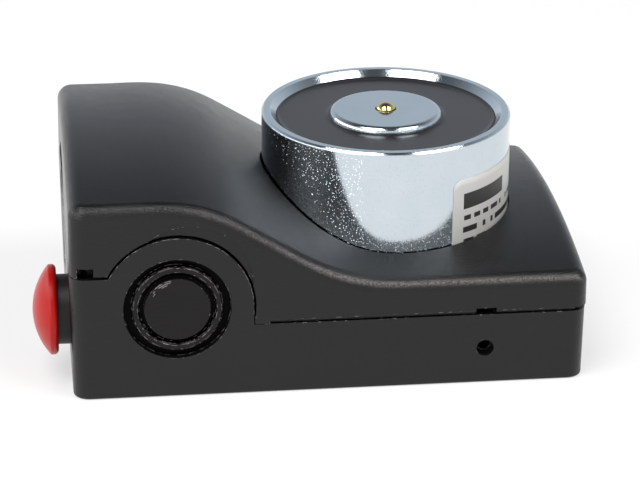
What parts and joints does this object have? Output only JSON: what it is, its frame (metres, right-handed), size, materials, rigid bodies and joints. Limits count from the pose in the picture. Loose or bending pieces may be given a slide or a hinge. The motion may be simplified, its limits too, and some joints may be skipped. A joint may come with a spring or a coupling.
{
  "type": "electromagnetic door holder",
  "caption": "Wall-mounted holding electromagnet in a black two-part moulded housing with cable knock-outs and a red release button.",
  "frame": {"origin": "on the wall plane, in the middle of the four wall screw holes, on the magnet's axis", "axes": "+X along the housing from the wiring end to the magnet end, +Z off the wall towards the door, +Y to the side away from the lock screw hole"},
  "size_m": [0.1077, 0.0712, 0.0461],
  "materials": {
    "black_housing": "moulded, fine spark-eroded texture",
    "zinc_plated_steel": "turned, bright zinc plated",
    "coil_former": "moulded",
    "enamelled_wire": "enamelled winding wire",
    "potting_resin": "cast resin, satin",
    "label_film": "bare white film label",
    "brass_pin": "turned",
    "spring_steel": "drawn wire",
    "blackened_steel": "blackened",
    "plated_screw": "zinc plated",
    "red_button": "glossy moulded",
    "black_plunger": "moulded",
    "contact_brass": "stamped",
    "switch_moulding": "moulded",
    "board_laminate": "green solder mask",
    "terminal_moulding": "moulded",
    "diode_body": "moulded",
    "red_lead": "insulated wire",
    "grey_lead": "insulated wire"
  },
  "bodies": {
    "holder": {"base_shell": "black_housing", "cover_shell": "black_housing", "magnet_pot": "zinc_plated_steel", "pole_core": "zinc_plated_steel", "coil_bobbin": "coil_former", "coil_winding": "enamelled_wire", "potting_ring": "potting_resin", "magnet_label": "label_film", "ejector_spring": "spring_steel", "spring_set_screw": "blackened_steel", "magnet_screw": "plated_screw", "lock_washer": "plated_screw", "button_spring": "spring_steel", "switch_body": "switch_moulding", "switch_end_cap": "switch_moulding", "switch_contacts": "contact_brass", "circuit_board": "board_laminate", "board_screws": "plated_screw", "terminal_block": "terminal_moulding", "terminal_clamps": "plated_screw", "terminal_screws": "plated_screw", "suppression_diode": "diode_body", "coil_leads": "red_lead", "switch_leads": "grey_lead"},
    "button": {"button_cap": "red_button", "button_plunger": "black_plunger", "contact_bridge": "contact_brass", "stem_clip": "spring_steel"},
    "ejector": {"ejector_pin": "brass_pin"}
  },
  "joints": [
    {"name": "button_press", "type": "slide", "parent": "holder", "child": "button", "axis": [1, 0, 0], "range_m": [0, 0.0018], "stiffness_N_per_m": 800, "springref_m": -0.003, "deforming": ["button_spring"]},
    {"name": "ejector_press", "type": "slide", "parent": "holder", "child": "ejector", "axis": [0, 0, -1], "range_m": [0, 0.0013], "stiffness_N_per_m": 500, "springref_m": -0.004, "deforming": ["ejector_spring"]}
  ]
}
